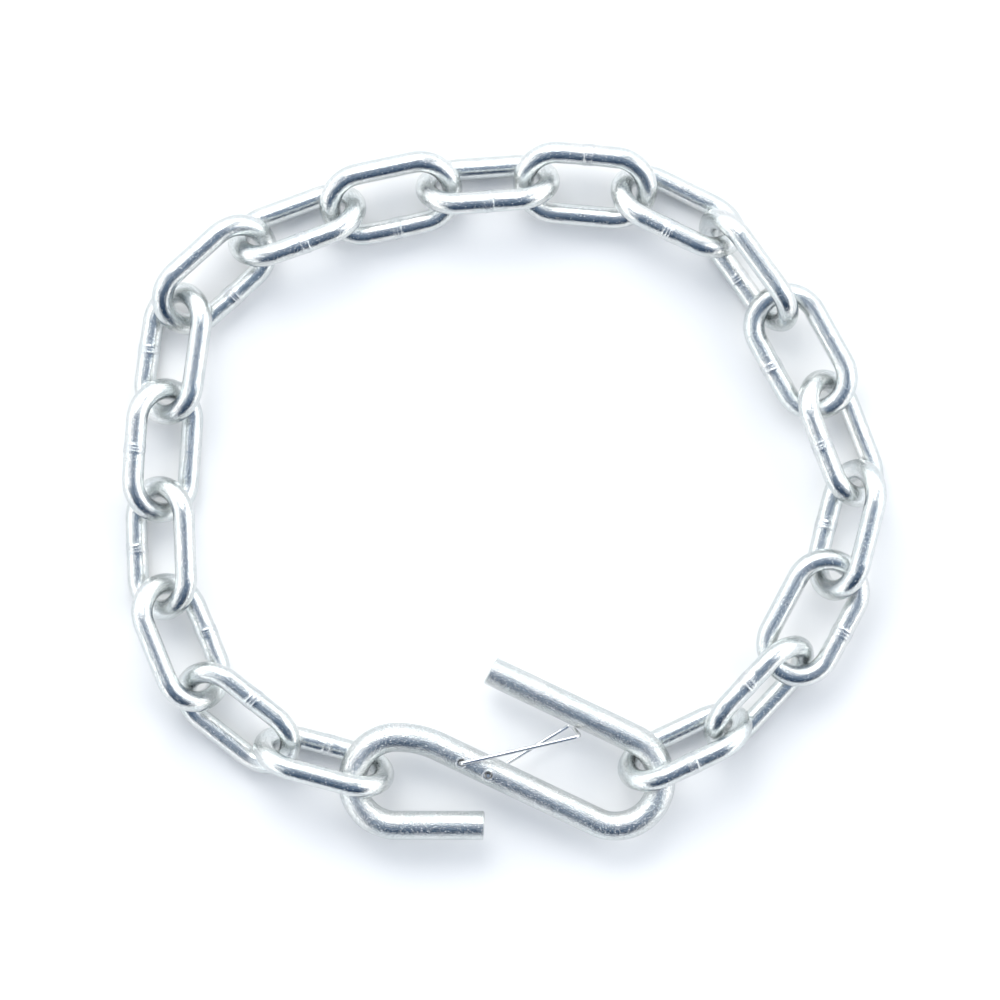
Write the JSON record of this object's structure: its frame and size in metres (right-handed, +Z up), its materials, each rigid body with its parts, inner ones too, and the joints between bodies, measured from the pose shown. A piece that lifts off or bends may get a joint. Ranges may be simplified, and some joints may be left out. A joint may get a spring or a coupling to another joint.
{
  "type": "safety chain with s hook",
  "caption": "Ring of welded steel chain links with both end links held in the bends of a flat S hook; one bend is closed by a sprung wire latch.",
  "frame": {"origin": "middle of the bounding box in plan, on the plane the chain lies on", "axes": "+X across the ring from the hook's left bend to its right bend, +Y from the hook across the ring, +Z up off the floor"},
  "size_m": [0.2461, 0.2252, 0.0268],
  "materials": {
    "hook": "satin bright zinc plate",
    "latch": "bright spring wire",
    "chain": "bright zinc plate"
  },
  "bodies": {
    "s_hook": {"s_hook": "hook", "latch_tail": "latch"},
    "latch": {"latch_wire": "latch"},
    "link_01": {"link_01": "chain"},
    "link_02": {"link_02": "chain"},
    "link_03": {"link_03": "chain"},
    "link_04": {"link_04": "chain"},
    "link_05": {"link_05": "chain"},
    "link_06": {"link_06": "chain"},
    "link_07": {"link_07": "chain"},
    "link_08": {"link_08": "chain"},
    "link_09": {"link_09": "chain"},
    "link_10": {"link_10": "chain"},
    "link_11": {"link_11": "chain"},
    "link_12": {"link_12": "chain"},
    "link_13": {"link_13": "chain"},
    "link_14": {"link_14": "chain"},
    "link_15": {"link_15": "chain"},
    "link_16": {"link_16": "chain"},
    "link_17": {"link_17": "chain"},
    "link_18": {"link_18": "chain"},
    "link_19": {"link_19": "chain"}
  },
  "joints": [
    {"name": "latch_swing", "type": "hinge", "parent": "s_hook", "child": "latch", "pos_m": [-0.01383, -0.08746, 0.0184], "axis": [0, 0, 1], "range_deg": [-28, 0], "stiffness_Nm_per_rad": 0.08, "springref_deg": 11.46},
    {"name": "link_01_swing", "type": "hinge", "parent": "s_hook", "child": "link_01", "pos_m": [-0.04388, -0.09099, 0.0128], "axis": [0, 0, 1], "range_deg": [-8.5, 8.5]},
    {"name": "link_02_swing", "type": "hinge", "parent": "link_01", "child": "link_02", "pos_m": [-0.07363, -0.08302, 0.0119], "axis": [0, 0, 1], "range_deg": [-9.15, 9.15]},
    {"name": "link_03_swing", "type": "hinge", "parent": "link_02", "child": "link_03", "pos_m": [-0.09853, -0.06357, 0.0116], "axis": [0, 0, 1], "range_deg": [-8.93, 8.93]},
    {"name": "link_04_swing", "type": "hinge", "parent": "link_03", "child": "link_04", "pos_m": [-0.11037, -0.03427, 0.0115], "axis": [0, 0, 1], "range_deg": [-4.56, 4.56]},
    {"name": "link_05_swing", "type": "hinge", "parent": "link_04", "child": "link_05", "pos_m": [-0.11148, -0.00269, 0.011], "axis": [0, 0, 1], "range_deg": [-3.88, 3.88]},
    {"name": "link_06_swing", "type": "hinge", "parent": "link_05", "child": "link_06", "pos_m": [-0.10927, 0.02884, 0.0109], "axis": [0, 0, 1], "range_deg": [-3.67, 3.67]},
    {"name": "link_07_swing", "type": "hinge", "parent": "link_06", "child": "link_07", "pos_m": [-0.10494, 0.05963, 0.0115], "axis": [0, 0, 1], "range_deg": [-4.04, 4.04]},
    {"name": "link_08_swing", "type": "hinge", "parent": "link_07", "child": "link_08", "pos_m": [-0.08183, 0.08044, 0.0121], "axis": [0, 0, 1], "range_deg": [-4.84, 4.84]},
    {"name": "link_09_swing", "type": "hinge", "parent": "link_08", "child": "link_09", "pos_m": [-0.05214, 0.09125, 0.0118], "axis": [0, 0, 1], "range_deg": [-5.88, 5.88]},
    {"name": "link_19_swing", "type": "hinge", "parent": "s_hook", "child": "link_19", "pos_m": [0.04463, -0.08902, 0.0128], "axis": [0, 0, 1], "range_deg": [-5.7, 5.7]},
    {"name": "link_18_swing", "type": "hinge", "parent": "link_19", "child": "link_18", "pos_m": [0.07174, -0.07616, 0.01295], "axis": [0, 0, 1], "range_deg": [-5.83, 5.83]},
    {"name": "link_17_swing", "type": "hinge", "parent": "link_18", "child": "link_17", "pos_m": [0.09236, -0.05423, 0.01335], "axis": [0, 0, 1], "range_deg": [-4.83, 4.83]},
    {"name": "link_16_swing", "type": "hinge", "parent": "link_17", "child": "link_16", "pos_m": [0.10663, -0.02739, 0.0138], "axis": [0, 0, 1], "range_deg": [-3.82, 3.82]},
    {"name": "link_15_swing", "type": "hinge", "parent": "link_16", "child": "link_15", "pos_m": [0.11408, 0.0025, 0.013], "axis": [0, 0, 1], "range_deg": [-8.82, 8.82]},
    {"name": "link_14_swing", "type": "hinge", "parent": "link_15", "child": "link_14", "pos_m": [0.10297, 0.03144, 0.0123], "axis": [0, 0, 1], "range_deg": [-6.37, 6.37]},
    {"name": "link_13_swing", "type": "hinge", "parent": "link_14", "child": "link_13", "pos_m": [0.08789, 0.05864, 0.01295], "axis": [0, 0, 1], "range_deg": [-6.63, 6.63]},
    {"name": "link_12_swing", "type": "hinge", "parent": "link_13", "child": "link_12", "pos_m": [0.06973, 0.08364, 0.01235], "axis": [0, 0, 1], "range_deg": [-6.28, 6.28]},
    {"name": "link_11_swing", "type": "hinge", "parent": "link_12", "child": "link_11", "pos_m": [0.04178, 0.09727, 0.0118], "axis": [0, 0, 1], "range_deg": [-5.89, 5.89]},
    {"name": "link_10_swing", "type": "hinge", "parent": "link_11", "child": "link_10", "pos_m": [0.0103, 0.10003, 0.0122], "axis": [0, 0, 1], "range_deg": [-6.17, 6.17]}
  ],
  "couplings": [
    {"joint": "link_02_swing", "follows": "link_01_swing", "ratio": 0.9853},
    {"joint": "link_03_swing", "follows": "link_01_swing", "ratio": 0.962},
    {"joint": "link_04_swing", "follows": "link_01_swing", "ratio": -0.4862},
    {"joint": "link_05_swing", "follows": "link_01_swing", "ratio": -0.4114},
    {"joint": "link_06_swing", "follows": "link_01_swing", "ratio": -0.3893},
    {"joint": "link_07_swing", "follows": "link_01_swing", "ratio": -0.4287},
    {"joint": "link_08_swing", "follows": "link_01_swing", "ratio": -0.5162},
    {"joint": "link_09_swing", "follows": "link_01_swing", "ratio": -0.6292},
    {"joint": "link_19_swing", "follows": "link_01_swing", "ratio": 0.61},
    {"joint": "link_18_swing", "follows": "link_01_swing", "ratio": 0.6243},
    {"joint": "link_17_swing", "follows": "link_01_swing", "ratio": 0.5148},
    {"joint": "link_16_swing", "follows": "link_01_swing", "ratio": 0.4052},
    {"joint": "link_15_swing", "follows": "link_01_swing", "ratio": 0.9495},
    {"joint": "link_14_swing", "follows": "link_01_swing", "ratio": -0.6826},
    {"joint": "link_13_swing", "follows": "link_01_swing", "ratio": -0.711},
    {"joint": "link_12_swing", "follows": "link_01_swing", "ratio": -0.6737},
    {"joint": "link_11_swing", "follows": "link_01_swing", "ratio": -0.6303},
    {"joint": "link_10_swing", "follows": "link_01_swing", "ratio": -0.6611}
  ]
}
